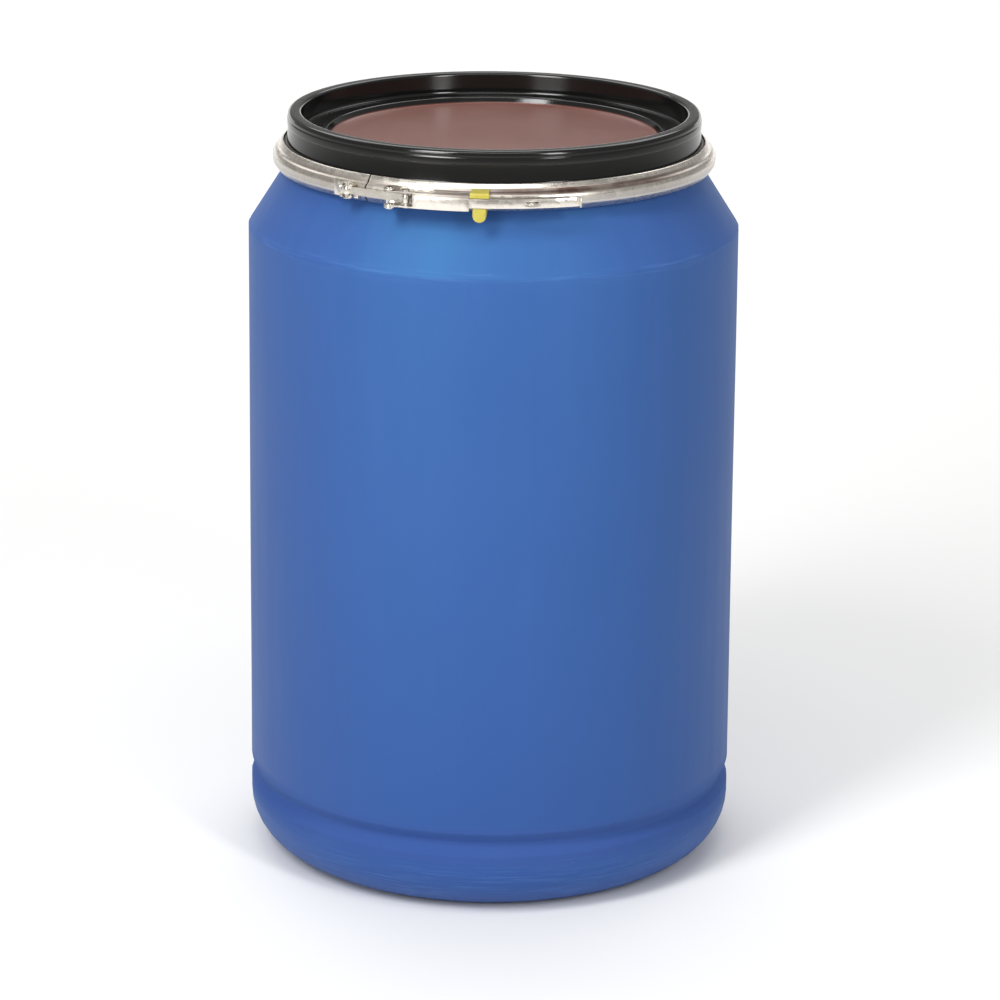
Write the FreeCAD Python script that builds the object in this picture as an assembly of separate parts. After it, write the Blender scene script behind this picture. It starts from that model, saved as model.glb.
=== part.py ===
import FreeCAD, Part
import math
import os

# Open head plastic drum with a lid and a lever-locked closing ring.
# Millimetres. The drum stands on z = 0 with its axis on Z, and the closure faces -Y.
# Angles round the drum are in degrees from the front (-Y), positive towards +X.
# A radial size is a distance from the drum's axis.

V = FreeCAD.Vector
Z_AXIS = V(0, 0, 1)

# ---- drum ----
SHOULDER_R = 292.0      # wall radius below the shoulder
FOOT_R = 295.0          # wall radius above the foot
WALL = 4.5              # moulded wall
FOOT_CORNER_R = 60.0
PUSH_UP = 10.0          # how far the middle of the base is raised
PUSH_UP_R = 205.0
STAND_R = 223.0         # inner edge of the ring that the drum stands on
GROOVE_Z = 91.0
GROOVE_HALF = 14.0
GROOVE_DEPTH = 9.0
SHOULDER_Z = 772.0
NECK_Z = 841.7          # where the conical shoulder meets the neck
RECESS_R = 247.5        # where the closing ring's lower lip reaches in
MOUTH_R = 242.0
BEAD_R = 257.0
BEAD_Z0 = 845.4
BEAD_Z1 = 858.5
LIP_R = 253.4
LIP_Z = 862.0           # top of the drum's mouth

# ---- lid ----
LID_TOP = 909.0
RIM_R = 245.4           # outer wall of the lid's raised rim
RIM_INNER_R = 229.0     # wall of the recess inside the rim
LID_WALL = 3.0
LEDGE_Z = 882.0         # ledge round the recess
LEDGE_BEAD_R = 201.0    # small raised bead on the ledge's inner edge
LEDGE_BEAD_H = 2.5
PANEL_R = 194.0
PANEL_Z = 877.5         # top of the middle panel
FLANGE_R = 257.0
FLANGE_TOP = 872.2
SKIRT_Z = 859.0         # lower edge of the flange's outer skirt
PLUG_R = 240.0          # outer radius of the plug skirt inside the mouth
PLUG_Z = 838.0
GASKET_R0 = 243.0
GASKET_R1 = 252.0
GASKET_GAP = 0.2

# ---- closing ring: a rounded V section, with a sloping flank that wedges the lid down ----
RING_R = 262.6          # outer face
SHEET = 1.5
RING_Z0 = 843.5
RING_Z1 = 873.8
RING_LIP_R = 250.0
FLANK_TOP_R = 251.3     # corners of the upper flank's outer face
FLANK_LOW_Z = 861.0
UNDER_R = 257.2         # corners of the lower flank's outer face
UNDER_Z = 851.0
RING_BEND_R = 6.0       # outer radius of the bends beside the face
LIP_BEND_R = 2.4        # outer radius of the bends beside the lips
CREASE_RUN = 9.3        # crease rolled along the upper flank, measured from the flank's top
CREASE_HALF = 3.0
CREASE_DEPTH = 1.1
WEDGE_GAP = 1.3         # lid flange to the band's flank
GAP_FROM = -34.0        # free ends of the band, which nearly meet when it is closed
GAP_TO = -33.6
FIT = 0.05              # radial clearance of a running or riveted fit
SEAT_GAP = 0.05         # bracket to band

# ---- closure ----
MID_Z = 857.0           # mid height of the lever and link
PIVOT_ANGLE = -25.0     # the lever's pivot
PIVOT_OUT = 15.0        # pivot's distance outside the ring's face
ARM = 18.0              # link pin to the right of the pivot, measured along the tangent
LINK_PIN_OUT = 9.5
ANCHOR_ANGLE = -38.0
ANCHOR_OUT = 7.4
PIN_R = 3.0
HEAD_R = 4.6
HEAD_T = 1.4

LEVER_R = 281.0         # outer face of the lever
LEVER_HALF = 9.0        # half height of the lever's wide part
LEVER_FLANGE_R = 267.5  # inner edge of the wide part's flanges
LEVER_EAR_R = 6.5
WEB_FROM = -19.0        # the wide part's face starts past the link's swing
WIDE_TO = -5.7
TAIL_TO = 20.0
TAIL_HALF = 5.3
TAIL_FLANGE_R = 272.0
LIP_OUT_R = 288.0       # finger lip at the lever's free end
SLOT_FROM = 7.3         # slot for the seal eye
SLOT_TO = 10.3
SLOT_HALF = 2.4

EAR_GAP = 0.3           # lever flange to bracket ear
PLATE_T = 2.0           # bracket and link stock
BRACKET_FROM = -27.4
BRACKET_TO = -14.4
BRACKET_RIVETS = (-18.4, -16.0)

LINK_HALF = 4.5         # half height of the link
LINK_EYE_R = 4.8

CHEEK_GAP = 0.7
CHEEK_T = 2.8
CHEEK_HALF_WIDTH = 8.5
CHEEK_RISE = 5.0        # how far the cheeks stand past the pin's centre
NOTCH_R = 4.2
ANCHOR_FROM = -43.4
ANCHOR_TO = -35.6
ANCHOR_HALF = 9.5
ANCHOR_RIVET_ANGLE = -41.7

CLIP_ANGLE = -3.3
CLIP_HALF_ANGLE = 2.2
CLIP_BASE_R = 269.5
CLIP_TOP_R = 282.5
CLIP_TOP_Z = 869.0
CLIP_LOW_Z = 835.5
CLIP_LOW_R = 280.5
CLIP_GAP = 0.7
CLIP_PEG_HALF = 8.0

EYE_ANGLE = 8.5
EYE_HALF_WIDTH = 4.0
EYE_R = 288.0
EYE_T = 2.0
EYE_FOOT_HALF_ANGLE = 3.0
EYE_FOOT_HALF = 5.0
EYE_HOLE_R = 1.8

RIVET_R = 2.5
RIVET_Z = 856.0         # middle of the ring's flat face
RIVET_HEAD_R = 3.9
RIVET_HEAD_T = 1.3
RIVET_TAIL_R = 3.4
RIVET_TAIL_T = 1.0


# ---- general shapes ----

def outline(corners):
    """Edges of a closed outline. Each corner is (a, b) or (a, b, radius)."""
    points = [(V(c[0], c[1], 0), c[2] if len(c) > 2 else 0.0) for c in corners]
    edges = []
    ends = []
    for i, (corner, radius) in enumerate(points):
        before = points[i - 1][0]
        after = points[(i + 1) % len(points)][0]
        if radius == 0.0:
            ends.append((corner, None, corner))
            continue
        to_before = (before - corner).normalize()
        to_after = (after - corner).normalize()
        half = to_before.getAngle(to_after) / 2
        reach = radius / math.tan(half)
        middle = (to_before + to_after).normalize()
        apex = corner + middle * (radius / math.sin(half) - radius)
        ends.append((corner + to_before * reach, apex, corner + to_after * reach))
    for i, (start, apex, end) in enumerate(ends):
        if apex is not None:
            edges.append(Part.Arc(start, apex, end).toShape())
        following = ends[(i + 1) % len(ends)][0]
        if (following - end).Length > 1e-6:
            edges.append(Part.LineSegment(end, following).toShape())
    return edges


def face_of(corners):
    return Part.Face(Part.Wire(outline(corners)))


def turned(corners, start=0.0, sweep=360.0):
    """A solid of revolution: the corners are (radius, height), start is an angle round the drum."""
    face = face_of(corners)
    face.rotate(V(0, 0, 0), V(1, 0, 0), 90)
    face.rotate(V(0, 0, 0), Z_AXIS, start - 90)
    return face.revolve(V(0, 0, 0), Z_AXIS, sweep)


def sector(r0, r1, z0, z1, a0, a1):
    return turned([(r0, z0), (r1, z0), (r1, z1), (r0, z1)], a0, a1 - a0)


def plate(corners, z0, z1):
    """An upright prism on a plan outline of (x, y) corners."""
    face = face_of(corners)
    face.translate(V(0, 0, z0))
    return face.extrude(V(0, 0, z1 - z0))


def upright(radius, x, y, z0, z1):
    return Part.makeCylinder(radius, z1 - z0, V(x, y, z0))


def bar(start, end, width, z0, z1):
    """An upright plate of a given width between two plan points."""
    along = (end - start).normalize()
    side = V(-along.y, along.x, 0) * (width / 2)
    corners = [start + side, start - side, end - side, end + side]
    return plate([(c.x, c.y) for c in corners], z0, z1)


def round_place(shape, angle):
    """Moves a shape made at the front to its angle round the drum."""
    moved = shape.copy()
    moved.rotate(V(0, 0, 0), Z_AXIS, angle)
    return moved


def around(radius, angle):
    """The plan point at a radius and an angle from the front."""
    turn = math.radians(angle)
    return V(radius * math.sin(turn), -radius * math.cos(turn), 0)


def fused(shapes):
    whole = shapes[0].fuse(shapes[1:])
    return whole.removeSplitter()


def front(along, out):
    """Plan point near the front: along the tangent, and out from the ring's face."""
    return V(along, -(RING_R + out), 0)


# ---- the band's upper flank, which the lid's flange and the gasket follow ----

FLANK = V(RING_R - FLANK_TOP_R, FLANK_LOW_Z - RING_Z1, 0)
FLANK_OUT = V(-FLANK.y, FLANK.x, 0).normalize()
FLANK_ANGLE = math.atan2(-FLANK.y, FLANK.x)


def flank_run(run, inset):
    """The (radius, height) at a distance down the flank, moved in from its outer face by an inset."""
    along = V(FLANK).normalize()
    point = V(FLANK_TOP_R, RING_Z1, 0) + along * run - FLANK_OUT * inset
    return point.x, point.y


def flank_point(radius, inset):
    """The corner at a radius on the same line."""
    r, z = flank_run(0, inset)
    return radius, z + FLANK.y / FLANK.x * (radius - r)


def flank_corner(height, inset):
    """The corner at a height on the same line."""
    r, z = flank_run(0, inset)
    return r + FLANK.x / FLANK.y * (height - z), height


# ---- closure points, made at the front and turned to PIVOT_ANGLE ----

PIVOT = front(0, PIVOT_OUT)
LINK_PIN = front(ARM, LINK_PIN_OUT)
ANCHOR = around(RING_R + ANCHOR_OUT, ANCHOR_ANGLE - PIVOT_ANGLE)


# ---- drum and lid ----

def drum_body():
    slope = (FOOT_R - SHOULDER_R) / (SHOULDER_Z - GROOVE_Z)
    low_r = FOOT_R - GROOVE_HALF * slope
    outside = [
        (0, PUSH_UP),
        (PUSH_UP_R, PUSH_UP, 8),
        (STAND_R, 0, 5),
        (FOOT_R, 0, FOOT_CORNER_R),
        (FOOT_R, GROOVE_Z - GROOVE_HALF, 8),
        (FOOT_R - GROOVE_DEPTH, GROOVE_Z, 8),
        (low_r, GROOVE_Z + GROOVE_HALF, 8),
        (SHOULDER_R, SHOULDER_Z, 9),
        (RECESS_R, NECK_Z, 3),
        (RECESS_R, BEAD_Z0, 0.8),
        (BEAD_R, BEAD_Z0, 2),
        (BEAD_R, BEAD_Z1, 1),
        (LIP_R, BEAD_Z1, 0.6),
        (LIP_R, LIP_Z, 1.5),
        (MOUTH_R, LIP_Z, 1.5),
    ]
    cone_shift = WALL * 0.54
    cone_rise = (NECK_Z - SHOULDER_Z) / (SHOULDER_R - RECESS_R)
    inside = [
        (MOUTH_R, SHOULDER_Z - cone_shift + (SHOULDER_R - WALL - MOUTH_R) * cone_rise, 5),
        (SHOULDER_R - WALL, SHOULDER_Z - cone_shift, 9),
        (low_r - WALL, GROOVE_Z + GROOVE_HALF, 10),
        (FOOT_R - WALL - GROOVE_DEPTH, GROOVE_Z, 6),
        (FOOT_R - WALL, GROOVE_Z - GROOVE_HALF, 10),
        (FOOT_R - WALL, WALL, FOOT_CORNER_R - WALL),
        (STAND_R + 2, WALL, 6),
        (PUSH_UP_R + 2, PUSH_UP + WALL, 8),
        (0, PUSH_UP + WALL),
    ]
    return turned(outside + inside)


def lid():
    flange_under = FLANGE_TOP - LID_WALL
    panel_under = PANEL_Z - LID_WALL
    ledge_under = LEDGE_Z - LID_WALL
    skirt_in = FLANGE_R - LID_WALL + 0.2
    outer = SHEET + WEDGE_GAP
    inner = outer + LID_WALL
    top = [
        (0, PANEL_Z),
        (PANEL_R, PANEL_Z, 2),
        (LEDGE_BEAD_R - 3, LEDGE_Z + LEDGE_BEAD_H, 2),
        (LEDGE_BEAD_R + 2, LEDGE_Z + LEDGE_BEAD_H, 2),
        (LEDGE_BEAD_R + 5, LEDGE_Z, 2),
        (RIM_INNER_R, LEDGE_Z, 4),
        (RIM_INNER_R - 1, LID_TOP, 4),
        (RIM_R - 0.4, LID_TOP, 5),
        (RIM_R + 0.4, FLANGE_TOP, 1.5),
        (*flank_corner(FLANGE_TOP, outer), 1),
        (*flank_point(FLANGE_R, outer), 1.5),
        (FLANGE_R, SKIRT_Z, 0.8),
    ]
    under = [
        (skirt_in, SKIRT_Z, 0.8),
        (*flank_point(skirt_in, inner), 0.8),
        (*flank_corner(flange_under, inner), 0.8),
        (PLUG_R, flange_under, 0.8),
        (PLUG_R - 1, PLUG_Z, 1.2),
        (PLUG_R - 1 - LID_WALL, PLUG_Z, 1.2),
        (PLUG_R - LID_WALL, flange_under + 1, 1),
        (RIM_R - LID_WALL, flange_under + 1, 1),
        (RIM_R - 0.4 - LID_WALL, LID_TOP - LID_WALL, 2),
        (RIM_INNER_R - 1 + LID_WALL, LID_TOP - LID_WALL, 2),
        (RIM_INNER_R + LID_WALL, ledge_under, 2),
        (LEDGE_BEAD_R + 6, ledge_under, 2),
        (PANEL_R + 2, panel_under, 2),
        (0, panel_under),
    ]
    return turned(top + under)


def lid_gasket():
    low = LIP_Z + GASKET_GAP
    high = FLANGE_TOP - LID_WALL - 2 * SEAT_GAP
    inset = SHEET + WEDGE_GAP + LID_WALL + 2 * SEAT_GAP
    return turned([
        (GASKET_R0, low, 1),
        (GASKET_R1, low, 0.5),
        (*flank_point(GASKET_R1, inset), 0.5),
        (*flank_corner(high, inset), 0.5),
        (GASKET_R0, high, 1),
    ])


# ---- closing ring ----

def rivet_places():
    """Every rivet through the band: angle, height and the radius that its head sits on."""
    on_plate = RING_R + SEAT_GAP + PLATE_T
    spread = EYE_FOOT_HALF_ANGLE - 1
    on_plates = BRACKET_RIVETS + (ANCHOR_RIVET_ANGLE, EYE_ANGLE - spread, EYE_ANGLE + spread)
    places = [(angle, RIVET_Z, on_plate) for angle in on_plates]
    places.append((CLIP_ANGLE, RIVET_Z, CLIP_BASE_R))
    return places


def radial_rod(radius, r0, r1, angle, z):
    rod = Part.makeCylinder(radius, r1 - r0, V(0, -r0, z), V(0, -1, 0))
    return round_place(rod, angle)


def rivet_holes():
    inner = RING_R - 5
    outer = CLIP_TOP_R + 5
    return [radial_rod(RIVET_R + FIT, inner, outer, a, z) for a, z, _ in rivet_places()]


def ring_section(inset):
    """One face of the rolled sheet, from the upper lip's end to the lower one's."""
    under = V(UNDER_R - RING_R, RING_Z0 - UNDER_Z, 0)
    # moving both sides of a bend in by the sheet's thickness moves its corner along its own bisector
    top_shift = inset * math.tan(FLANK_ANGLE / 2)
    face_shift = inset * math.tan((math.pi / 2 - FLANK_ANGLE) / 2)
    under_angle = math.atan2(-under.y, -under.x)
    low_shift = inset * math.tan((math.pi / 2 - under_angle) / 2)
    end_shift = inset * math.tan(under_angle / 2)
    return [
        (RING_LIP_R, RING_Z1 - inset),
        (FLANK_TOP_R - top_shift, RING_Z1 - inset, LIP_BEND_R - inset),
        (*flank_run(CREASE_RUN - CREASE_HALF, inset), 1.2),
        (*flank_run(CREASE_RUN, inset + CREASE_DEPTH), 2),
        (*flank_run(CREASE_RUN + CREASE_HALF, inset), 1.2),
        (RING_R - inset, FLANK_LOW_Z - face_shift, RING_BEND_R - inset),
        (RING_R - inset, UNDER_Z + low_shift, RING_BEND_R - inset),
        (UNDER_R - end_shift, RING_Z0 + inset, LIP_BEND_R - inset),
        (RING_LIP_R, RING_Z0 + inset),
    ]


def ring_band():
    section = ring_section(0) + ring_section(SHEET)[::-1]
    band = turned(section, GAP_TO, 360 - (GAP_TO - GAP_FROM))
    return band.cut(rivet_holes())


def band_rivets():
    solids = []
    for angle, z, seat in rivet_places():
        shank = radial_rod(RIVET_R, RING_R - SHEET - RIVET_TAIL_T - 0.2, seat + 0.2, angle, z)
        head = Part.makeCylinder(RIVET_HEAD_R, RIVET_HEAD_T, V(0, -seat, z), V(0, -1, 0))
        rim = [e for e in head.Edges if abs(e.CenterOfMass.y + seat + RIVET_HEAD_T) < 1e-6]
        head = round_place(head.makeFillet(RIVET_HEAD_T * 0.6, rim), angle)
        tail_r = RING_R - SHEET - 0.2
        tail = radial_rod(RIVET_TAIL_R, tail_r - RIVET_TAIL_T, tail_r, angle, z)
        solids.append(fused([shank, head, tail]))
    return Part.makeCompound(solids)


# ---- closure ----

def fulcrum_bracket():
    """A plate on the band with two ears that hold the lever's pivot rivets."""
    ear_z = LEVER_HALF + EAR_GAP
    seat = RING_R + SEAT_GAP
    high = ear_z + PLATE_T
    parts = [sector(seat, seat + PLATE_T, MID_Z - high, MID_Z + high, BRACKET_FROM, BRACKET_TO)]
    foot_y = -(RING_R + SEAT_GAP + PLATE_T / 2)
    for z0 in (MID_Z + ear_z, MID_Z - high):
        z1 = z0 + PLATE_T
        ear = plate([
            (-LEVER_EAR_R - 2, foot_y),
            (LEVER_EAR_R + 2, foot_y),
            (LEVER_EAR_R, PIVOT.y),
            (-LEVER_EAR_R, PIVOT.y),
        ], z0, z1)
        parts.append(round_place(ear, PIVOT_ANGLE))
        boss = upright(LEVER_EAR_R, PIVOT.x, PIVOT.y, z0, z1)
        parts.append(round_place(boss, PIVOT_ANGLE))
    pivot_hole = upright(PIN_R + FIT, PIVOT.x, PIVOT.y, MID_Z - high - 1, MID_Z + high + 1)
    cuts = [round_place(pivot_hole, PIVOT_ANGLE)] + rivet_holes()
    return fused(parts).cut(cuts)


def pivot_rivet(side):
    """A short rivet through one ear and one flange of the lever, clear of the link between them."""
    inner = LEVER_HALF - SHEET
    outer = LEVER_HALF + EAR_GAP + PLATE_T
    pieces = [
        upright(PIN_R, 0, 0, inner - 1, outer + 0.05),
        upright(HEAD_R, 0, 0, outer + 0.05, outer + HEAD_T),
        upright(HEAD_R - 0.4, 0, 0, inner - 1, inner - 0.1),
    ]
    rivet = fused(pieces)
    crown = [e for e in rivet.Edges if abs(e.BoundBox.ZMin - outer - HEAD_T) < 1e-6]
    rivet = rivet.makeFillet(HEAD_T * 0.6, crown)
    if side < 0:
        rivet = rivet.mirror(V(0, 0, 0), Z_AXIS)
    rivet.translate(V(PIVOT.x, PIVOT.y, MID_Z))
    return round_place(rivet, PIVOT_ANGLE)


def lever_flange(z0):
    """One side of the lever's wide part, with its ear round the pivot."""
    z1 = z0 + SHEET
    side_start = PIVOT_ANGLE + math.degrees(ARM / RING_R) - 1.5
    side = sector(LEVER_FLANGE_R, LEVER_R, z0, z1, side_start, WIDE_TO)
    ear = round_place(upright(LEVER_EAR_R, PIVOT.x, PIVOT.y, z0, z1), PIVOT_ANGLE)
    low = around(LEVER_FLANGE_R, side_start - PIVOT_ANGLE + 0.1)
    high = around(LEVER_R, side_start - PIVOT_ANGLE + 0.1)
    neck = plate([
        (PIVOT.x, PIVOT.y + LEVER_EAR_R),
        (low.x, low.y),
        (high.x, high.y),
        (PIVOT.x, PIVOT.y - LEVER_EAR_R),
    ], z0, z1)
    return [side, ear, round_place(neck, PIVOT_ANGLE)]


def lever():
    web_r = LEVER_R - SHEET
    top = MID_Z + LEVER_HALF
    base = MID_Z - LEVER_HALF
    tail_top = MID_Z + TAIL_HALF
    tail_base = MID_Z - TAIL_HALF
    parts = lever_flange(top - SHEET) + lever_flange(base)
    parts.append(sector(web_r, LEVER_R, base, top, WEB_FROM, WIDE_TO))
    parts.append(sector(web_r, LEVER_R, tail_base, tail_top, WIDE_TO - 0.5, TAIL_TO))
    for z0 in (tail_top - SHEET, tail_base):
        parts.append(sector(TAIL_FLANGE_R, LEVER_R, z0, z0 + SHEET, WIDE_TO - 0.5, TAIL_TO - 2))
    parts.append(sector(web_r, LIP_OUT_R, tail_base, tail_top, TAIL_TO - 0.3, TAIL_TO))
    through = LEVER_HALF + 1
    pins = [upright(PIN_R + FIT, p.x, p.y, MID_Z - through, MID_Z + through) for p in (PIVOT, LINK_PIN)]
    cuts = [round_place(p, PIVOT_ANGLE) for p in pins]
    cuts.append(sector(web_r - 1, LEVER_R + 1, MID_Z - SLOT_HALF, MID_Z + SLOT_HALF, SLOT_FROM, SLOT_TO))
    return fused(parts).cut(cuts)


def link_pin():
    """The rivet that joins the link to the lever."""
    outer = LEVER_HALF + 0.05
    pin = fused([
        upright(PIN_R, 0, 0, -outer - 0.1, outer + 0.1),
        upright(HEAD_R, 0, 0, outer, outer + HEAD_T),
        upright(HEAD_R, 0, 0, -outer - HEAD_T, -outer),
    ])
    pin.translate(V(LINK_PIN.x, LINK_PIN.y, MID_Z))
    return round_place(pin, PIVOT_ANGLE)


def tension_link():
    """A flat strap with an eye at each end."""
    z0 = MID_Z - LINK_HALF
    z1 = MID_Z + LINK_HALF
    ends = (LINK_PIN, ANCHOR)
    eyes = [upright(LINK_EYE_R, p.x, p.y, z0, z1) for p in ends]
    holes = [upright(PIN_R + FIT, p.x, p.y, z0 - 1, z1 + 1) for p in ends]
    strap = bar(LINK_PIN, ANCHOR, PLATE_T, z0, z1)
    return round_place(fused([strap] + eyes).cut(holes), PIVOT_ANGLE)


def anchor_pin():
    """The pin in the link's other eye. It lies in the open notch of the anchor bracket."""
    cheek = LINK_HALF + CHEEK_GAP + CHEEK_T
    half = cheek + 0.4
    pin = fused([
        upright(PIN_R, 0, 0, -half - 0.1, half + 0.1),
        upright(HEAD_R, 0, 0, half, half + 1),
        upright(HEAD_R, 0, 0, -half - 1, -half),
    ])
    pin.translate(V(ANCHOR.x, ANCHOR.y, MID_Z))
    return round_place(pin, PIVOT_ANGLE)


def anchor_bracket():
    """A plate on the band with two notched cheeks that hold the anchor pin."""
    seat = RING_R + SEAT_GAP
    z0 = MID_Z - ANCHOR_HALF
    z1 = MID_Z + ANCHOR_HALF
    pin_y = -(RING_R + ANCHOR_OUT)
    parts = [sector(seat, seat + PLATE_T, z0, z1, ANCHOR_FROM, ANCHOR_TO)]
    inner = LINK_HALF + CHEEK_GAP
    for low in (inner, -inner - CHEEK_T):
        cheek = plate([
            (-CHEEK_HALF_WIDTH, -(seat + 0.5)),
            (CHEEK_HALF_WIDTH, -(seat + 0.5)),
            (CHEEK_HALF_WIDTH, pin_y - CHEEK_RISE, 3),
            (-CHEEK_HALF_WIDTH, pin_y - CHEEK_RISE, 3),
        ], MID_Z + low, MID_Z + low + CHEEK_T)
        parts.append(round_place(cheek, ANCHOR_ANGLE))
    # the notch is open in the direction that the link first moves in, which is the pivot's outward one
    way_out = ANCHOR + V(0, -2 * CHEEK_RISE, 0)
    notch = fused([
        upright(NOTCH_R, ANCHOR.x, ANCHOR.y, z0, z1),
        bar(ANCHOR, way_out, 2 * NOTCH_R, z0, z1),
    ])
    return fused(parts).cut([round_place(notch, PIVOT_ANGLE)] + rivet_holes())


def safety_clip():
    """A plastic catch on the band: the lever's tail drops between its block and its peg."""
    a0 = CLIP_ANGLE - CLIP_HALF_ANGLE
    a1 = CLIP_ANGLE + CLIP_HALF_ANGLE
    seat = RING_R + SEAT_GAP
    tail = TAIL_HALF + CLIP_GAP
    base = turned([
        (seat, MID_Z - tail - 3),
        (CLIP_BASE_R, MID_Z - tail - 3),
        (CLIP_BASE_R, MID_Z + tail + 1),
        (CLIP_TOP_R, MID_Z + tail, 1),
        (CLIP_TOP_R, CLIP_TOP_Z, 2),
        (*flank_corner(CLIP_TOP_Z, -SEAT_GAP), 0.6),
        (seat, flank_point(seat, -SEAT_GAP)[1]),
    ], a0, a1 - a0)
    peg_y = -(seat + CLIP_LOW_R) / 2
    peg_depth = CLIP_LOW_R - seat
    peg = plate([
        (-CLIP_PEG_HALF, -seat - 0.6),
        (CLIP_PEG_HALF, -seat - 0.6),
        (CLIP_PEG_HALF, -CLIP_LOW_R, 3),
        (-CLIP_PEG_HALF, -CLIP_LOW_R, 3),
    ], CLIP_LOW_Z, MID_Z - tail)
    rounding = Part.makeCylinder(CLIP_PEG_HALF, peg_depth, V(0, peg_y + peg_depth / 2, 0), V(0, -1, 0))
    rounding.translate(V(0, 0, CLIP_LOW_Z + CLIP_PEG_HALF))
    block = Part.makeBox(2 * CLIP_PEG_HALF, peg_depth, MID_Z - tail - CLIP_LOW_Z - CLIP_PEG_HALF)
    block.translate(V(-CLIP_PEG_HALF, peg_y - peg_depth / 2, CLIP_LOW_Z + CLIP_PEG_HALF))
    peg = peg.common(fused([rounding, block]))
    return fused([base, round_place(peg, CLIP_ANGLE)]).cut(rivet_holes())


def seal_eye():
    """A foot on the band with a tab that comes through the lever's slot and has the seal's hole."""
    seat = RING_R + SEAT_GAP
    foot = sector(seat, seat + PLATE_T, MID_Z - EYE_FOOT_HALF, MID_Z + EYE_FOOT_HALF,
                  EYE_ANGLE - EYE_FOOT_HALF_ANGLE, EYE_ANGLE + EYE_FOOT_HALF_ANGLE)
    tab = plate([
        (-EYE_HALF_WIDTH, -(seat + 1)),
        (EYE_HALF_WIDTH, -(seat + 1)),
        (EYE_HALF_WIDTH, -EYE_R, 3.2),
        (-EYE_HALF_WIDTH, -EYE_R, 3.2),
    ], MID_Z - EYE_T / 2, MID_Z + EYE_T / 2)
    hole = upright(EYE_HOLE_R, 0, -(LEVER_R + EYE_R) / 2, MID_Z - EYE_T, MID_Z + EYE_T)
    tab = round_place(tab.cut(hole), EYE_ANGLE)
    return fused([foot, tab]).cut(rivet_holes())


NODES = {
    "drum_body": drum_body,
    "lid": lid,
    "lid_gasket": lid_gasket,
    "ring_band": ring_band,
    "band_rivets": band_rivets,
    "fulcrum_bracket": fulcrum_bracket,
    "lever_pivot_upper": lambda: pivot_rivet(1),
    "lever_pivot_lower": lambda: pivot_rivet(-1),
    "lever": lever,
    "link_pin": link_pin,
    "tension_link": tension_link,
    "anchor_pin": anchor_pin,
    "anchor_bracket": anchor_bracket,
    "safety_clip": safety_clip,
    "seal_eye": seal_eye,
}


def main():
    os.makedirs("parts", exist_ok=True)
    for name, make in NODES.items():
        shape = make()
        box = shape.BoundBox
        print(name, "solids", len(shape.Solids), "valid", shape.isValid(),
              "volume %.1f" % shape.Volume,
              "z %.1f to %.1f" % (box.ZMin, box.ZMax),
              "reach %.1f" % max(math.hypot(v.X, v.Y) for v in shape.Vertexes))
        shape.exportStep("parts/" + name + ".step")
    pivot = around(RING_R + PIVOT_OUT, PIVOT_ANGLE)
    pin = round_place(Part.Vertex(LINK_PIN), PIVOT_ANGLE).Point
    print("lever pivot at %.4f %.4f" % (pivot.x, pivot.y))
    print("link pin at %.4f %.4f" % (pin.x, pin.y))


main()
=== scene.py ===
import math

import bmesh
import bpy
from mathutils import Matrix, Vector, noise


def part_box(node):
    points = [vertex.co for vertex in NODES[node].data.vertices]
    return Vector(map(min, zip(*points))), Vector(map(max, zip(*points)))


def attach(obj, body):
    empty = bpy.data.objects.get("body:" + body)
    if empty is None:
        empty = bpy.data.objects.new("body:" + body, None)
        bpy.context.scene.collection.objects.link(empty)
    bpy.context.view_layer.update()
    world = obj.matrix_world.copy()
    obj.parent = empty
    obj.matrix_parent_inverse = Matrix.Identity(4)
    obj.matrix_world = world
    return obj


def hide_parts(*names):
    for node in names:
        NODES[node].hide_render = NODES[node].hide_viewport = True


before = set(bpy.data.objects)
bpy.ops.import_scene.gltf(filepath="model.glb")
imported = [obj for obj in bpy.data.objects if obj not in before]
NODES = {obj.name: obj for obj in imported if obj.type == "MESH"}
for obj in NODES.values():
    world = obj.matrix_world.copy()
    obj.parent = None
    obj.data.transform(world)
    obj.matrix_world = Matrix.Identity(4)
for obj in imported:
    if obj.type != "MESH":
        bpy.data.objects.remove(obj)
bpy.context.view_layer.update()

# A blue plastic open head drum with a black lid and a lever-locked steel closing ring.
# Metres, in the frame's own axes: the drum stands on z = 0, its axis is Z, and its closure faces -Y.
# Angles round the drum are in degrees from the front (-Y), positive towards +X.
# The three turned parts are made again here with a finer mesh and their surface detail, on the section
# that the CAD parts have. Everything else is the CAD part with softened edges and a material.


# ---- sizes read from the frame ----

DRUM_LOW, DRUM_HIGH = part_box("drum_body")
LID_LOW, LID_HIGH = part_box("lid")
RING_LOW, RING_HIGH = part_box("ring_band")
FOOT_R = -DRUM_LOW.y
LIP_Z = DRUM_HIGH.z
FLANGE_R = -LID_LOW.y
LID_TOP = LID_HIGH.z
RING_R = -RING_LOW.y
RING_Z0 = RING_LOW.z
RING_Z1 = RING_HIGH.z

# ---- drum section ----

SHOULDER_R = 0.292
WALL = 0.0045
CONE_DROP = 0.54        # the inner shoulder corner lies this many walls below the outer one
FOOT_CORNER_R = 0.060
PUSH_UP = 0.010
PUSH_UP_R = 0.205
STAND_R = 0.223
GROOVE_Z = 0.091
GROOVE_HALF = 0.014
GROOVE_DEPTH = 0.009
SHOULDER_Z = 0.772
NECK_Z = 0.8417
RECESS_R = 0.2475
MOUTH_R = 0.242
BEAD_R = 0.257
BEAD_Z0 = 0.8454
BEAD_Z1 = 0.8585
LIP_R = 0.2534

# ---- lid section ----

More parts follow.
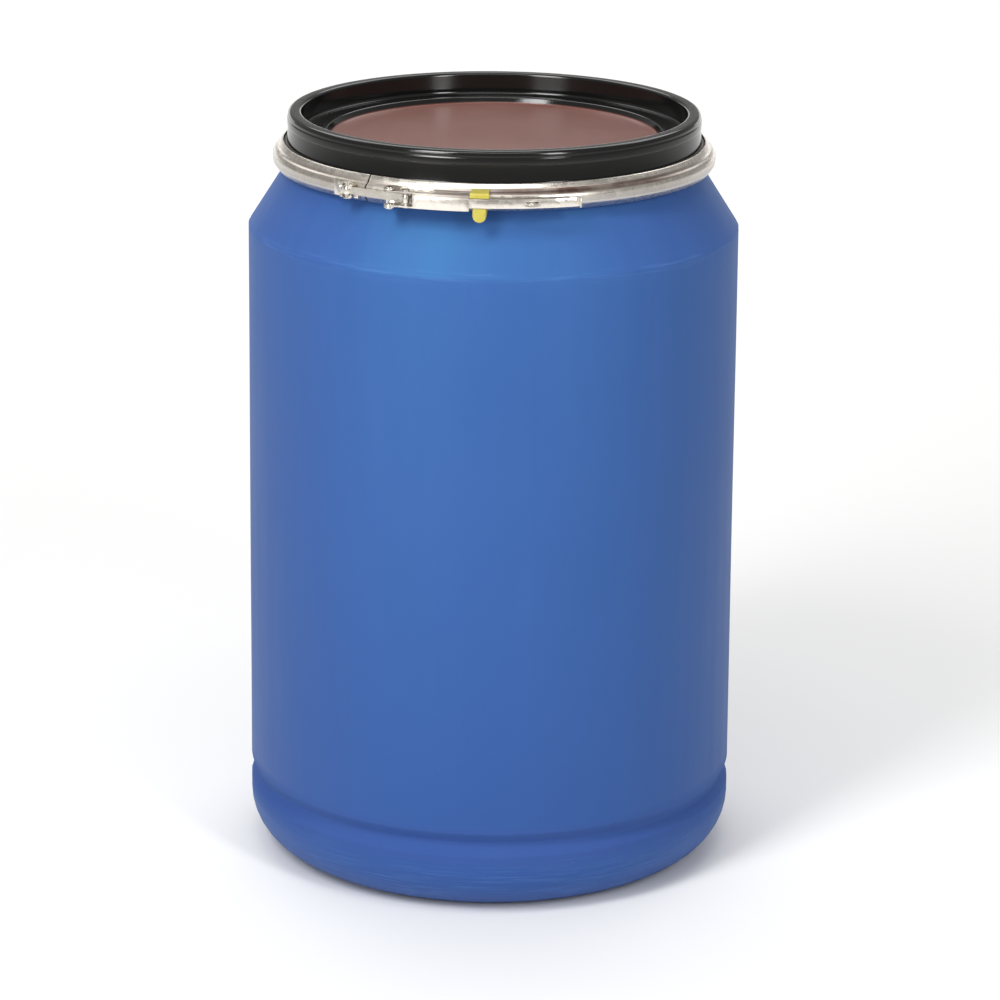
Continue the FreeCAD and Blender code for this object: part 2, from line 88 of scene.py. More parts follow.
RIM_R = 0.2454
RIM_INNER_R = 0.229
LID_WALL = 0.003
LEDGE_Z = 0.882
LEDGE_BEAD_R = 0.201
LEDGE_BEAD_H = 0.0025
PANEL_R = 0.194
PANEL_Z = 0.8775
FLANGE_TOP = 0.8722
SKIRT_Z = 0.859
PLUG_R = 0.240
PLUG_Z = LID_LOW.z
RIM_BEAD_Z = 0.897      # shallow bead moulded round the rim's outer wall
RIM_BEAD_HALF = 0.0045
RIM_BEAD_DEPTH = 0.0007

# ---- ring section ----

SHEET = 0.0015
RING_LIP_R = 0.250
FLANK_TOP_R = 0.2513
FLANK_LOW_Z = 0.861
UNDER_R = 0.2572
UNDER_Z = 0.851
RING_BEND_R = 0.006
LIP_BEND_R = 0.0024
CREASE_RUN = 0.0093
CREASE_HALF = 0.003
CREASE_DEPTH = 0.0011
WEDGE_GAP = 0.0013
GAP_FROM = -34.0
GAP_TO = -33.6

# ---- surface detail ----

TURN_STEPS = 360        # even steps round a turned mesh
ARC_STEP = 9.0          # degrees of bend per step of a section's arc
LONG_STEP = 0.02        # longest straight step of a section
WALL_WAVE = 0.00045     # how far the blow-moulded wall wanders in and out
LID_WAVE = 0.00012
RING_WAVE = 0.00018
SEAM_HEIGHT = 0.0005    # the mould's parting line stands this far out
SEAM_WIDTH = 0.0016
SEAM_ANGLE = 90.0       # the two parting lines are at the drum's sides
SEAM_STEP = 0.15        # degrees between the rows that draw a parting line
PINCH_HALF = 0.17       # half length of the pinch-off ridge across the base
PINCH_HEIGHT = 0.0014
PINCH_WIDTH = 0.0022
PINCH_ROOT = 0.001      # how far the ridge reaches into the base
PINCH_STEPS = 48
SHARP_ANGLE = 35.0      # degrees between two faces that still shade as one surface
BEVEL_ANGLE = 45.0      # degrees between two faces whose edge gets rounded
WELD_REACH = 1e-6

# ---- camera and light ----

CAMERA_DISTANCE = 4.5
CAMERA_HEIGHT = 1.808
CAMERA_PITCH = 16.64    # degrees below the horizon
CAMERA_ROLL = 0.47
FOCAL_MM = 139.0
SENSOR_MM = 36.0
FRAME_SHIFT = (0.0084, -0.03)

FLOOR_SIZE = 16.0
FLOOR_COLOUR = (0.84, 0.84, 0.84)
SKY_COLOUR = (1.0, 0.99, 0.97)
SKY_STRENGTH = 0.30


# ---- materials ----

class Graph:
    """A material's node tree, with short calls for the nodes that are used here."""

    def __init__(self, name):
        self.material = bpy.data.materials.new(name)
        self.material.use_nodes = True
        self.tree = self.material.node_tree
        self.shader = self.tree.nodes["Principled BSDF"]

    def set(self, socket, value):
        self.shader.inputs[socket].default_value = value

    def drive(self, socket, value):
        self.tree.links.new(value, self.shader.inputs[socket])

    def node(self, kind, inputs=(), **settings):
        made = self.tree.nodes.new(kind)
        for key, value in settings.items():
            setattr(made, key, value)
        for key, value in dict(inputs).items():
            self.feed(made.inputs[key], value)
        return made

    def feed(self, socket, value):
        if isinstance(value, bpy.types.NodeSocket):
            self.tree.links.new(value, socket)
        else:
            socket.default_value = value

    def math(self, operation, a, b=0.0):
        return self.node("ShaderNodeMath", {0: a, 1: b}, operation=operation).outputs[0]

    def noise(self, vector, scale, detail=3.0, roughness=0.5):
        values = {"Vector": vector, "Scale": scale, "Detail": detail, "Roughness": roughness}
        return self.node("ShaderNodeTexNoise", values).outputs["Fac"]

    def ramp(self, value, low, high, to_low=0.0, to_high=1.0):
        values = {"Value": value, "From Min": low, "From Max": high, "To Min": to_low, "To Max": to_high}
        return self.node("ShaderNodeMapRange", values, clamp=True).outputs[0]

    def blend(self, amount, first, second):
        made = self.node("ShaderNodeMix", data_type="RGBA")
        self.feed(made.inputs[0], amount)
        self.feed(made.inputs[6], first)
        self.feed(made.inputs[7], second)
        return made.outputs[2]

    def place(self):
        """The point on the piece, in metres, in the CAD frame at rest."""
        return self.node("ShaderNodeTexCoord").outputs["Object"]

    def round_the_drum(self, vector, radius):
        """(distance round, distance from the axis, height) as one vector, then the last two alone."""
        x, y, z = self.node("ShaderNodeSeparateXYZ", {0: vector}).outputs[0:3]
        away = self.math("SQRT", self.math("ADD", self.math("MULTIPLY", x, x), self.math("MULTIPLY", y, y)))
        angle = self.math("ARCTAN2", x, self.math("MULTIPLY", y, -1.0))
        run = self.math("MULTIPLY", angle, radius)
        joined = self.node("ShaderNodeCombineXYZ", {0: run, 1: away, 2: z}).outputs[0]
        return joined, away, z

    def stretched(self, vector, scale):
        return self.node("ShaderNodeVectorMath", {0: vector, 1: scale}, operation="MULTIPLY").outputs[0]

    def near(self, value, middle, reach):
        """1 at a middle value, falling to 0 at a reach from it."""
        away = self.math("ABSOLUTE", self.math("SUBTRACT", value, middle))
        return self.ramp(away, reach, 0.0)

    def bump(self, height, distance, below=None):
        values = {"Height": height, "Distance": distance, "Strength": 1.0}
        if below is not None:
            values["Normal"] = below
        return self.node("ShaderNodeBump", values).outputs[0]


def drum_plastic():
    """Satin blue polyethylene: flow streaks from the mould, handling scuffs where the drum sticks out, a
    painted highlight along the shoulder's corner, painted shade towards the foot.
    """
    g = Graph("drum_plastic")
    point = g.place()
    run, _, height = g.round_the_drum(point, FOOT_R)
    cloud = g.noise(point, 4.0, 4.0, 0.6)
    streak = g.noise(g.stretched(run, (55.0, 1.0, 2.0)), 1.0, 4.0, 0.6)
    scratch = g.noise(g.stretched(run, (16.0, 16.0, 460.0)), 1.0, 5.0, 0.7)
    nick = g.noise(point, 75.0, 5.0, 0.75)
    base = g.blend(cloud, (0.032, 0.071, 0.272, 1), (0.043, 0.089, 0.312, 1))
    base = g.blend(g.ramp(streak, 0.45, 0.8, 0.0, 0.3), base, (0.051, 0.103, 0.337, 1))
    # painted shade: the colour darkens towards the foot, standing in for the lower wall getting less light
    low = g.ramp(height, LIP_Z, 0.05, 0.0, 0.6)
    base = g.blend(low, base, (0.030, 0.040, 0.240, 1))
    # scuffs lie along the foot and the shoulder's corner; the lighter line along the shoulder's corner is
    # also a painted highlight
    foot = g.math("MULTIPLY", g.ramp(height, 0.078, 0.03), g.ramp(height, 0.004, 0.012))
    shoulder = g.near(height, SHOULDER_Z, 0.010)
    wear_and_highlight = g.math("MAXIMUM", g.math("MULTIPLY", foot, 0.75), g.math("MULTIPLY", shoulder, 0.7))
    lines = g.math("MULTIPLY", wear_and_highlight, g.ramp(scratch, 0.50, 0.66))
    spots = g.math("MULTIPLY", g.ramp(nick, 0.66, 0.72), g.ramp(wear_and_highlight, 0.0, 0.3, 0.15, 0.8))
    scuff = g.math("MAXIMUM", lines, spots)
    # the lighter blue is wear at the foot, and wear plus a painted highlight along the shoulder's corner
    base = g.blend(g.math("MULTIPLY", scuff, 0.55), base, (0.11, 0.20, 0.50, 1))
    # the groove collects a thin dust, which dulls its highlight
    groove = g.ramp(g.near(height, GROOVE_Z - 0.004, 0.030), 0.0, 0.5)
    dust = g.math("MULTIPLY", groove, g.ramp(cloud, 0.35, 0.65, 0.03, 0.10))
    g.drive("Base Color", g.blend(dust, base, (0.12, 0.17, 0.34, 1)))
    g.set("Specular IOR Level", 0.75)
    g.set("Specular Tint", (0.15, 0.9, 1.0, 1))
    rough = g.math("ADD", g.ramp(cloud, 0.3, 0.7, 0.52, 0.60), g.math("MULTIPLY", scuff, 0.22))
    rough = g.math("ADD", rough, g.math("MULTIPLY", groove, 0.28))
    g.drive("Roughness", g.math("ADD", rough, g.ramp(streak, 0.3, 0.8, -0.03, 0.05)))
    normal = g.bump(streak, 0.00012)
    normal = g.bump(g.noise(point, 850.0, 2.0), 0.00005, below=normal)
    g.drive("Normal", g.bump(g.math("MULTIPLY", scuff, -1.0), 0.0001, below=normal))
    return g.material


def lid_plastic():
    """Glossy black polyethylene, with a browner, duller panel in the middle."""
    g = Graph("lid_plastic")
    point = g.place()
    run, away, height = g.round_the_drum(point, FLANGE_R)
    cloud = g.noise(point, 7.0, 4.0, 0.6)
    swirl = g.noise(g.stretched(run, (5.0, 240.0, 240.0)), 1.0, 4.0, 0.6)
    nick = g.noise(point, 110.0, 5.0, 0.75)
    black = g.blend(cloud, (0.0035, 0.0035, 0.0035, 1), (0.0075, 0.0072, 0.0068, 1))
    panel = g.blend(cloud, (0.122, 0.038, 0.026, 1), (0.168, 0.058, 0.044, 1))
    panel = g.blend(g.ramp(swirl, 0.4, 0.75, 0.0, 0.5), panel, (0.180, 0.070, 0.055, 1))
    # the tint ends at the panel's own edge, and its underside stays black
    on_panel = g.math("MULTIPLY", g.ramp(away, PANEL_R + 0.0012, PANEL_R + 0.0002),
                      g.ramp(height, PANEL_Z - 0.0015, PANEL_Z - 0.0010))
    edge = g.near(height, LID_TOP, 0.003)
    scuff = g.math("MULTIPLY", g.ramp(nick, 0.60, 0.68), g.ramp(edge, 0.0, 1.0, 0.12, 0.9))
    base = g.blend(on_panel, black, panel)
    g.drive("Base Color", g.blend(g.math("MULTIPLY", scuff, 0.35), base, (0.045, 0.043, 0.040, 1)))
    rough = g.math("ADD", g.ramp(cloud, 0.3, 0.7, 0.09, 0.13), g.ramp(swirl, 0.5, 0.8, 0.0, 0.05))
    rough = g.math("ADD", rough, g.math("MULTIPLY", scuff, 0.2))
    g.drive("Roughness", g.math("ADD", rough, g.math("MULTIPLY", on_panel, 0.22)))
    normal = g.bump(swirl, 0.00002)
    g.drive("Normal", g.bump(g.noise(point, 1000.0, 2.0), 0.00003, below=normal))
    return g.material


def rolled_steel(name, light, dark, rough):
    """Galvanised sheet: crystals in its tone, painted bluish shade and reflection on the lower slope, painted
    brown shade in the crease.
    """
    g = Graph(name)
    point = g.place()
    run, away, height = g.round_the_drum(point, RING_R)
    crystals = g.node("ShaderNodeTexVoronoi", {"Vector": point, "Scale": 150.0}).outputs["Color"]
    tone = g.node("ShaderNodeRGBToBW", {0: crystals}).outputs[0]
    rolled = g.noise(g.stretched(run, (20.0, 800.0, 1000.0)), 1.0, 5.0, 0.65)
    cloud = g.noise(point, 24.0, 3.0, 0.6)
    amount = g.math("ADD", g.math("MULTIPLY", tone, 0.35), g.math("MULTIPLY", cloud, 0.65))
    base = g.blend(amount, dark, light)
    # the painted shade and reflection on the lower slope stop at the band's outer face, so the lever gets
    # none
    on_band = g.ramp(away, RING_R + 0.002, RING_R + 0.001)
    low = g.ramp(height, FLANK_LOW_Z - 0.003, RING_Z0 + 0.006)
    painted_shade_reflection = g.math("MULTIPLY", low, g.ramp(cloud, 0.3, 0.7, 0.50, 0.72))
    base = g.blend(g.math("MULTIPLY", painted_shade_reflection, on_band), base, (0.24, 0.25, 0.31, 1))
    # painted shade in the crease: on the front half only, and heavier towards +X
    crease = g.ramp(g.near(height, flank_run(CREASE_RUN, 0)[1] - 0.001, 0.0042), 0.0, 0.45)
    across, depth = g.node("ShaderNodeSeparateXYZ", {0: point}).outputs[0:2]
    crease = g.math("MULTIPLY", crease, g.ramp(depth, -0.08, -0.19))
    crease = g.math("MULTIPLY", crease, g.ramp(across, -0.10, 0.07, 0.50, 1.0))
    painted_crease_shade = g.math("MULTIPLY", crease, g.ramp(cloud, 0.35, 0.6, 0.75, 0.98))
    # the brown blended in here is painted shade in the crease
    g.drive("Base Color", g.blend(painted_crease_shade, base, (0.095, 0.052, 0.042, 1)))
    g.set("Metallic", 1.0)
    crystal_rough = g.ramp(tone, 0.0, 1.0, rough - 0.05, rough + 0.05)
    sheet_rough = g.math("ADD", crystal_rough, g.ramp(rolled, 0.4, 0.75, 0.0, 0.1))
    g.drive("Roughness", g.math("ADD", sheet_rough, g.math("MULTIPLY", painted_crease_shade, 0.3)))
    g.drive("Normal", g.bump(cloud, 0.00005))
    return g.material


def plated_steel(name, light, dark, rough):
    """Zinc plated pressings and rivets: a cloudy tone, fine grain, and a touch of yellow passivation."""
    g = Graph(name)
    point = g.place()
    cloud = g.noise(point, 90.0, 4.0, 0.6)
    grain = g.noise(point, 1600.0, 3.0, 0.6)
    yellow = g.ramp(g.noise(point, 38.0, 2.0), 0.5, 0.7, 0.0, 0.3)
    g.drive("Base Color", g.blend(yellow, g.blend(cloud, dark, light), (0.70, 0.60, 0.42, 1)))
    g.set("Metallic", 1.0)
    g.drive("Roughness", g.ramp(grain, 0.3, 0.7, rough - 0.05, rough + 0.08))
    g.drive("Normal", g.bump(grain, 0.00004, below=g.bump(cloud, 0.00012)))
    return g.material


def clip_plastic():
    """Bright yellow plastic, slightly uneven in tone and gloss."""
    g = Graph("clip_plastic")
    point = g.place()
    cloud = g.noise(point, 70.0, 3.0)
    g.drive("Base Color", g.blend(cloud, (0.42, 0.355, 0.050, 1), (0.54, 0.465, 0.085, 1)))
    g.drive("Roughness", g.ramp(cloud, 0.3, 0.7, 0.30, 0.42))
    g.drive("Normal", g.bump(g.noise(point, 1400.0, 2.0), 0.00004))
    return g.material


def gasket_rubber():
    """Black foam rubber with open pores."""
    g = Graph("gasket_rubber")
    pores = g.node("ShaderNodeTexVoronoi", {"Vector": g.place(), "Scale": 900.0}).outputs["Distance"]
    g.drive("Base Color", g.blend(pores, (0.02, 0.02, 0.02, 1), (0.06, 0.06, 0.058, 1)))
    g.set("Roughness", 0.85)
    g.drive("Normal", g.bump(pores, 0.0003))
    return g.material


def floor_paint():
    g = Graph("floor_paint")
    g.set("Base Color", (*FLOOR_COLOUR, 1))
    g.set("Roughness", 0.9)
    g.set("Specular IOR Level", 0.2)
    return g.material


# ---- sections ----

def section_points(corners, closed=False):
    """(radius, height) points along a section, with its corners rounded and its straight runs divided."""
    points = []
    count = len(corners)
    for i, corner in enumerate(corners):
        here = Vector(corner[:2])
        radius = corner[2] if len(corner) > 2 else 0.0
        if radius == 0.0:
            points.append(here)
            continue
        back = (Vector(corners[i - 1][:2]) - here).normalized()
        on = (Vector(corners[(i + 1) % count][:2]) - here).normalized()
        half = back.angle(on) / 2
        reach = radius / math.tan(half)
        centre = here + (back + on).normalized() * (radius / math.sin(half))
        first = here + back * reach - centre
        bend = first.angle_signed(here + on * reach - centre)
        steps = max(2, round(abs(math.degrees(bend)) / ARC_STEP))
        for k in range(steps + 1):
            points.append(centre + Matrix.Rotation(-bend * k / steps, 2) @ first)
    divided = []
    last = len(points) if closed else len(points) - 1
    for i in range(last):
        start = points[i]
        run = points[(i + 1) % len(points)] - start
        pieces = max(1, math.ceil(run.length / LONG_STEP))
        divided += [start + run * k / pieces for k in range(pieces)]
    return divided if closed else divided + [points[-1]]


def flank_run(run, inset):
    """The (radius, height) at a distance down the ring's upper flank, moved in from its outer face."""
    down = Vector((RING_R - FLANK_TOP_R, FLANK_LOW_Z - RING_Z1)).normalized()
    out = Vector((-down.y, down.x))
    point = Vector((FLANK_TOP_R, RING_Z1)) + down * run - out * inset
    return point.x, point.y


def flank_point(radius, inset):
    """The (radius, height) where the flank's line, moved in by inset, reaches a radius."""
    r, z = flank_run(0, inset)
    return radius, z + (FLANK_LOW_Z - RING_Z1) / (RING_R - FLANK_TOP_R) * (radius - r)


def flank_corner(height, inset):
    """The (radius, height) where the flank's line, moved in by inset, reaches a height."""
    r, z = flank_run(0, inset)
    return r + (RING_R - FLANK_TOP_R) / (FLANK_LOW_Z - RING_Z1) * (height - z), height


def drum_section():
    slope = (FOOT_R - SHOULDER_R) / (SHOULDER_Z - GROOVE_Z)
    low_r = FOOT_R - GROOVE_HALF * slope
    cone_shift = WALL * CONE_DROP
    cone_rise = (NECK_Z - SHOULDER_Z) / (SHOULDER_R - RECESS_R)
    return section_points([
        (0, PUSH_UP),
        (PUSH_UP_R, PUSH_UP, 0.008),
        (STAND_R, 0, 0.005),
        (FOOT_R, 0, FOOT_CORNER_R),
        (FOOT_R, GROOVE_Z - GROOVE_HALF, 0.008),
        (FOOT_R - GROOVE_DEPTH, GROOVE_Z, 0.008),
        (low_r, GROOVE_Z + GROOVE_HALF, 0.008),
        (SHOULDER_R, SHOULDER_Z, 0.009),
        (RECESS_R, NECK_Z, 0.003),
        (RECESS_R, BEAD_Z0, 0.0008),
        (BEAD_R, BEAD_Z0, 0.002),
        (BEAD_R, BEAD_Z1, 0.001),
        (LIP_R, BEAD_Z1, 0.0006),
        (LIP_R, LIP_Z, 0.0015),
        (MOUTH_R, LIP_Z, 0.0015),
        (MOUTH_R, SHOULDER_Z - cone_shift + (SHOULDER_R - WALL - MOUTH_R) * cone_rise, 0.005),
        (SHOULDER_R - WALL, SHOULDER_Z - cone_shift, 0.009),
        (low_r - WALL, GROOVE_Z + GROOVE_HALF, 0.010),
        (FOOT_R - WALL - GROOVE_DEPTH, GROOVE_Z, 0.006),
        (FOOT_R - WALL, GROOVE_Z - GROOVE_HALF, 0.010),
        (FOOT_R - WALL, WALL, FOOT_CORNER_R - WALL),
        (STAND_R + 0.002, WALL, 0.006),
        (PUSH_UP_R + 0.002, PUSH_UP + WALL, 0.008),
        (0, PUSH_UP + WALL),
    ])


def lid_section():
    flange_under = FLANGE_TOP - LID_WALL
    panel_under = PANEL_Z - LID_WALL
    ledge_under = LEDGE_Z - LID_WALL
    skirt_in = FLANGE_R - LID_WALL + 0.0002
    outer = SHEET + WEDGE_GAP
    inner = outer + LID_WALL
    bead_low = RIM_BEAD_Z - RIM_BEAD_HALF
    bead_high = RIM_BEAD_Z + RIM_BEAD_HALF
    return section_points([
        (0, PANEL_Z),
        (PANEL_R, PANEL_Z, 0.002),
        (LEDGE_BEAD_R - 0.003, LEDGE_Z + LEDGE_BEAD_H, 0.002),
        (LEDGE_BEAD_R + 0.002, LEDGE_Z + LEDGE_BEAD_H, 0.002),
        (LEDGE_BEAD_R + 0.005, LEDGE_Z, 0.002),
        (RIM_INNER_R, LEDGE_Z, 0.004),
        (RIM_INNER_R - 0.001, LID_TOP, 0.004),
        (RIM_R - 0.0004, LID_TOP, 0.005),
        (RIM_R - 0.0002 - RIM_BEAD_DEPTH, bead_high, 0.0012),
        (RIM_R, bead_high - 0.0012, 0.0012),
        (RIM_R, bead_low + 0.0012, 0.0012),
        (RIM_R - RIM_BEAD_DEPTH, bead_low, 0.0012),
        (RIM_R + 0.0004, FLANGE_TOP, 0.0015),
        (*flank_corner(FLANGE_TOP, outer), 0.001),
        (*flank_point(FLANGE_R, outer), 0.0015),
        (FLANGE_R, SKIRT_Z, 0.0008),
        (skirt_in, SKIRT_Z, 0.0008),
        (*flank_point(skirt_in, inner), 0.0008),
        (*flank_corner(flange_under, inner), 0.0008),
        (PLUG_R, flange_under, 0.0008),
        (PLUG_R - 0.001, PLUG_Z, 0.0012),
        (PLUG_R - 0.001 - LID_WALL, PLUG_Z, 0.0012),
        (PLUG_R - LID_WALL, flange_under + 0.001, 0.001),
        (RIM_R - LID_WALL, flange_under + 0.001, 0.001),
        (RIM_R - 0.0004 - LID_WALL, LID_TOP - LID_WALL, 0.002),
        (RIM_INNER_R - 0.001 + LID_WALL, LID_TOP - LID_WALL, 0.002),
        (RIM_INNER_R + LID_WALL, ledge_under, 0.002),
        (LEDGE_BEAD_R + 0.006, ledge_under, 0.002),
        (PANEL_R + 0.002, panel_under, 0.002),
        (0, panel_under),
    ])


def ring_face(inset):
    """One face of the band's section. Moving a bend in by the sheet moves its corner along its bisector."""
    flank = math.atan2(RING_Z1 - FLANK_LOW_Z, RING_R - FLANK_TOP_R)
    under = math.atan2(UNDER_Z - RING_Z0, RING_R - UNDER_R)
    quarter = math.pi / 2
    return [
        (RING_LIP_R, RING_Z1 - inset),
        (FLANK_TOP_R - inset * math.tan(flank / 2), RING_Z1 - inset, LIP_BEND_R - inset),
        (*flank_run(CREASE_RUN - CREASE_HALF, inset), 0.0012),
        (*flank_run(CREASE_RUN, inset + CREASE_DEPTH), 0.002),
        (*flank_run(CREASE_RUN + CREASE_HALF, inset), 0.0012),
        (RING_R - inset, FLANK_LOW_Z - inset * math.tan((quarter - flank) / 2), RING_BEND_R - inset),
        (RING_R - inset, UNDER_Z + inset * math.tan((quarter - under) / 2), RING_BEND_R - inset),
        (UNDER_R - inset * math.tan(under / 2), RING_Z0 + inset, LIP_BEND_R - inset),
        (RING_LIP_R, RING_Z0 + inset),
    ]


def ring_section():
    return section_points(ring_face(0) + ring_face(SHEET)[::-1], closed=True)


# ---- turned meshes ----

def turned_mesh(name, section, shift, start=0.0, sweep=360.0, closed=False, extra=()):
    """Turns a section about Z. shift(radius, height, angle) gives each point's own small move outwards.
    extra holds angles, in degrees, that have a row of their own between the even ones."""
    whole = sweep == 360.0
    even = round(TURN_STEPS * sweep / 360)
    degrees = {start + sweep * k / even for k in range(even if whole else even + 1)}
    angles = [math.radians(a) for a in sorted(degrees.union(extra))]
    steps = len(angles) if whole else len(angles) - 1
    vertices = []
    rows = []
    for r, z in section:
        if r == 0:
            rows.append([len(vertices)] * (steps + 1))
            vertices.append((0, 0, z))
            continue
        row = []
        for angle in angles:
            out = r + shift(r, z, angle)
            row.append(len(vertices))
            vertices.append((out * math.sin(angle), -out * math.cos(angle), z))
        rows.append(row + row[:1] if whole else row)
    faces = []
    for low, high in zip(rows, rows[1:] + rows[:1] if closed else rows[1:]):
        for k in range(steps):
            faces.append(list(dict.fromkeys((low[k], low[k + 1], high[k + 1], high[k]))))
    if not whole:
        faces.append([row[0] for row in rows][::-1])
        faces.append([row[-1] for row in rows])
    mesh = bpy.data.meshes.new(name)
    mesh.from_pydata(vertices, [], faces)
    return mesh


def face_outwards(mesh):
    """Turns every face's normal to the outside."""
    work = bmesh.new()
    work.from_mesh(mesh)
    bmesh.ops.recalc_face_normals(work, faces=work.faces)
    work.to_mesh(mesh)
    work.free()


def add_pinch_ridge(mesh):
    """The ridge left across the base where the mould closed on the soft tube, tapered to both ends."""
    work = bmesh.new()
    work.from_mesh(mesh)
    rows = []
    for k in range(PINCH_STEPS + 1):
        along = 2 * k / PINCH_STEPS - 1
        deep = PINCH_HEIGHT * math.sqrt(max(0.0, 1 - along ** 4)) * (0.85 + 0.15 * math.sin(19 * along))
        sides = (-PINCH_WIDTH / 2, -PINCH_WIDTH / 5, PINCH_WIDTH / 5, PINCH_WIDTH / 2)
        drops = (-PINCH_ROOT, deep, deep, -PINCH_ROOT)
        rows.append([work.verts.new((PINCH_HALF * along, y, PUSH_UP - d)) for y, d in zip(sides, drops)])
    for before, after in zip(rows, rows[1:]):
        for i in range(4):
            work.faces.new((before[i], after[i], after[(i + 1) % 4], before[(i + 1) % 4]))
    work.faces.new(rows[0])
    work.faces.new(rows[-1][::-1])
    work.to_mesh(mesh)
    work.free()


def wander(angle, height, across, up, seed):
    """A smooth random value, the same at 0 and 360 degrees."""
    return noise.noise(Vector((math.cos(angle) * across, math.sin(angle) * across, height * up + seed)))


def outside_radius(z):
    """The wall's outer radius at a height, near enough to tell its two faces apart."""
    if z > NECK_Z:
        return RECESS_R
    if z > SHOULDER_Z:
        return SHOULDER_R + (RECESS_R - SHOULDER_R) * (z - SHOULDER_Z) / (NECK_Z - SHOULDER_Z)
    if z < FOOT_CORNER_R:
        drop = FOOT_CORNER_R - z
        return FOOT_R - FOOT_CORNER_R + math.sqrt(max(0.0, FOOT_CORNER_R ** 2 - drop ** 2))
    dip = max(0.0, 1 - abs(z - GROOVE_Z) / GROOVE_HALF) * GROOVE_DEPTH
    return FOOT_R - dip - (FOOT_R - SHOULDER_R) * max(0.0, z - GROOVE_Z) / (SHOULDER_Z - GROOVE_Z)


def drum_shift(r, z, angle):
    """The moulded wall's slow waves, and the mould's parting line on the outside."""
    if r < STAND_R or z > NECK_Z:
        return 0.0
    sure = min(1.0, (r - STAND_R) / 0.04) * min(1.0, (NECK_Z - z) / 0.03)
    wave = (wander(angle, z, 1.6, 3.0, 0.0) - 0.5) * WALL_WAVE * sure
    if r < outside_radius(z) - WALL / 2:
        return wave
    off_seam = math.radians(math.degrees(angle) % 180 - SEAM_ANGLE) * r
    seam = SEAM_HEIGHT * math.exp(-(off_seam / SEAM_WIDTH) ** 2) * sure
    return min(wave + seam, FOOT_R - r)


def lid_shift(r, z, angle):
    """Slow waves in the lid's rim."""
    return (wander(angle, z, 2.2, 6.0, 10.0) - 0.5) * LID_WAVE if z > FLANGE_TOP and r > PANEL_R else 0.0


def ring_shift(r, z, angle):
    """Slow waves in the band's outer face."""
    return (wander(angle, z, 9.0, 25.0, 20.0) - 0.8) * RING_WAVE if r > FLANK_TOP_R else 0.0


# ---- pieces ----

def add_piece(name, mesh, body, material, node):
    """Links a finished mesh as a piece of the object that stands for a CAD node."""
    face_outwards(mesh)
    piece = bpy.data.objects.new(name, mesh)
    bpy.context.scene.collection.objects.link(piece)
    mesh.materials.append(material)
    mesh.shade_smooth()
    mesh.set_sharp_from_angle(angle=math.radians(SHARP_ANGLE))
    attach(piece, body)
    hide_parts(node)


def soften(node, width):
    """Rounds a CAD part's hard edges, so that they catch the light."""
    part = NODES[node]
    weld = part.modifiers.new("weld", "WELD")
    weld.merge_threshold = WELD_REACH
    bevel = part.modifiers.new("bevel", "BEVEL")
    bevel.width = width
    bevel.segments = 2
    bevel.limit_method = "ANGLE"
    bevel.angle_limit = math.radians(BEVEL_ANGLE)
    bevel.harden_normals = True


def give(material, *names):
    """Gives CAD parts their material."""
    for name in names:
        NODES[name].data.materials[0] = material


def add_drum():
    seams = [a + SEAM_STEP * k for a in (SEAM_ANGLE, SEAM_ANGLE + 180) for k in (-3, -2, -1, 1, 2, 3)]
    mesh = turned_mesh("drum_shell", drum_section(), drum_shift, extra=seams)
    add_pinch_ridge(mesh)
    add_piece("drum_shell", mesh, "drum", drum_plastic(), "drum_body")


def add_lid():
    mesh = turned_mesh("lid_shell", lid_section(), lid_shift)
    add_piece("lid_shell", mesh, "lid", lid_plastic(), "lid")
    give(gasket_rubber(), "lid_gasket")


def add_ring():
    steel = rolled_steel("ring_steel", (0.93, 0.88, 0.80, 1), (0.66, 0.61, 0.55, 1), 0.27)
    mesh = turned_mesh("ring_shell", ring_section(), ring_shift, GAP_TO, 360 + GAP_FROM - GAP_TO, closed=True)
    add_piece("ring_shell", mesh, "ring", steel, "ring_band")
    give(steel, "lever")
    give(plated_steel("bracket_steel", (0.92, 0.88, 0.80, 1), (0.64, 0.60, 0.54, 1), 0.25),
         "fulcrum_bracket", "anchor_bracket", "tension_link", "seal_eye")
    give(plated_steel("rivet_steel", (0.82, 0.80, 0.77, 1), (0.55, 0.54, 0.52, 1), 0.22),
         "band_rivets", "lever_pivot_upper", "lever_pivot_lower", "link_pin", "anchor_pin")
    give(clip_plastic(), "safety_clip")
    for name, width in (("lever", 0.0005), ("fulcrum_bracket", 0.0004), ("anchor_bracket", 0.0004),
                        ("tension_link", 0.0003), ("seal_eye", 0.0003), ("safety_clip", 0.0006)):
        soften(name, width)


# ---- stage ----

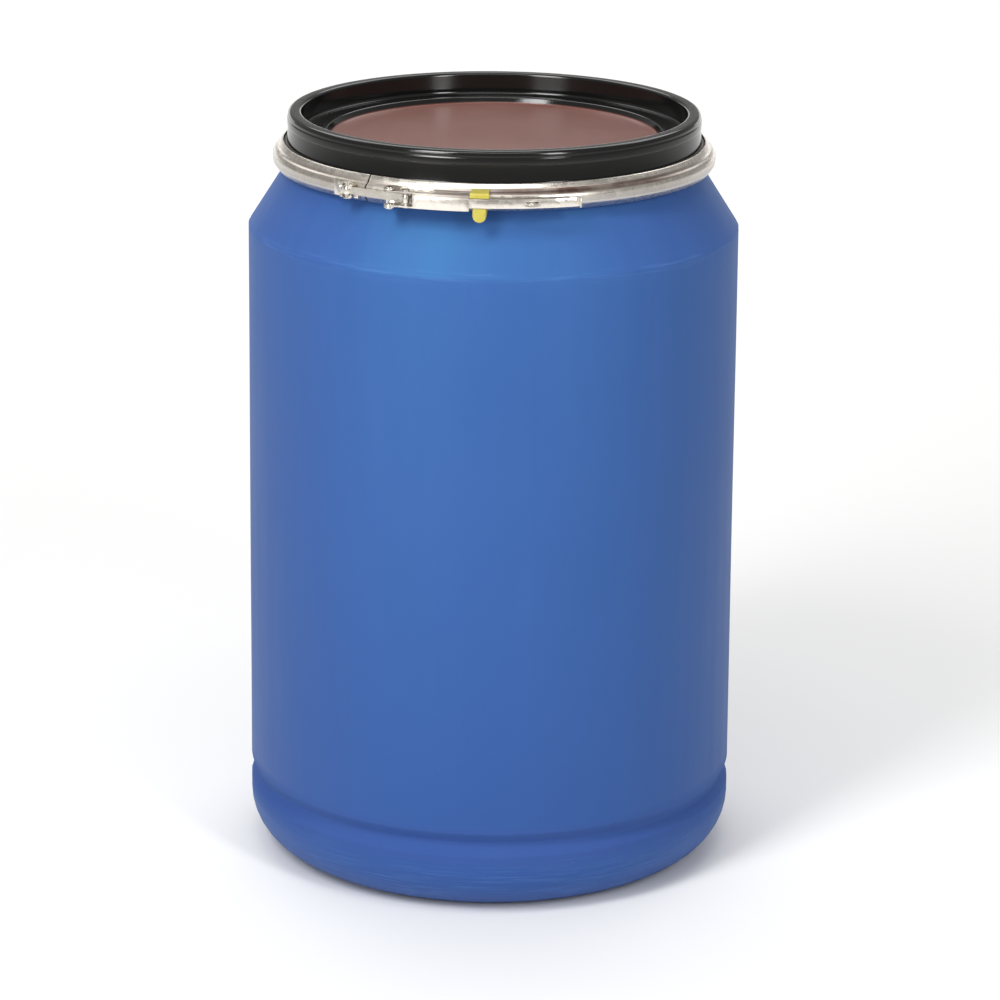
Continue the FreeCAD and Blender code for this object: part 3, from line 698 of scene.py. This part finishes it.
def add_camera():
    data = bpy.data.cameras.new("camera")
    data.lens = FOCAL_MM
    data.sensor_width = SENSOR_MM
    data.shift_x, data.shift_y = FRAME_SHIFT
    data.clip_end = 100.0
    camera = bpy.data.objects.new("camera", data)
    bpy.context.scene.collection.objects.link(camera)
    camera.location = (0, -CAMERA_DISTANCE, CAMERA_HEIGHT)
    tilt = Matrix.Rotation(math.radians(90 - CAMERA_PITCH), 4, "X")
    roll = Matrix.Rotation(math.radians(CAMERA_ROLL), 4, "Z")
    camera.rotation_euler = (tilt @ roll).to_euler()
    bpy.context.scene.camera = camera


def add_light(name, place, target, size, power):
    data = bpy.data.lights.new(name, "AREA")
    data.shape = "RECTANGLE"
    data.size, data.size_y = size
    data.energy = power
    light = bpy.data.objects.new(name, data)
    bpy.context.scene.collection.objects.link(light)
    light.location = place
    light.rotation_euler = (Vector(target) - Vector(place)).to_track_quat("-Z", "Y").to_euler()


def add_stage():
    world = bpy.data.worlds.new("studio")
    bpy.context.scene.world = world
    world.use_nodes = True
    background = world.node_tree.nodes["Background"]
    background.inputs["Color"].default_value = (*SKY_COLOUR, 1)
    background.inputs["Strength"].default_value = SKY_STRENGTH
    bpy.context.scene.view_settings.view_transform = "Standard"
    half = FLOOR_SIZE / 2
    corners = [(-half, -half, 0), (half, -half, 0), (half, half, 0), (-half, half, 0)]
    mesh = bpy.data.meshes.new("floor")
    mesh.from_pydata(corners, [], [(0, 1, 2, 3)])
    mesh.materials.append(floor_paint())
    floor = bpy.data.objects.new("floor", mesh)
    bpy.context.scene.collection.objects.link(floor)
    add_light("key", (-1.75, -2.3, 3.3), (0, 0, 0.8), (1.0, 1.9), 91)
    add_light("fill", (-2.0, -2.95, 1.5), (0, 0, 0.6), (1.2, 1.3), 30)
    add_light("second", (1.7, -2.6, 2.1), (0, 0, 0.8), (0.55, 2.0), 42)
    add_light("top", (0.0, -1.3, 3.8), (0, -0.2, 0.85), (1.8, 0.6), 19)
    add_light("rear", (0.0, 4.7, 5.2), (0, 4.7, 0), (8.0, 6.0), 350)
    add_light("horizon", (0.0, 8.2, 1.0), (0, 0, 1.0), (12.0, 1.8), 75)


def main():
    add_camera()
    add_stage()
    add_drum()
    add_lid()
    add_ring()


main()
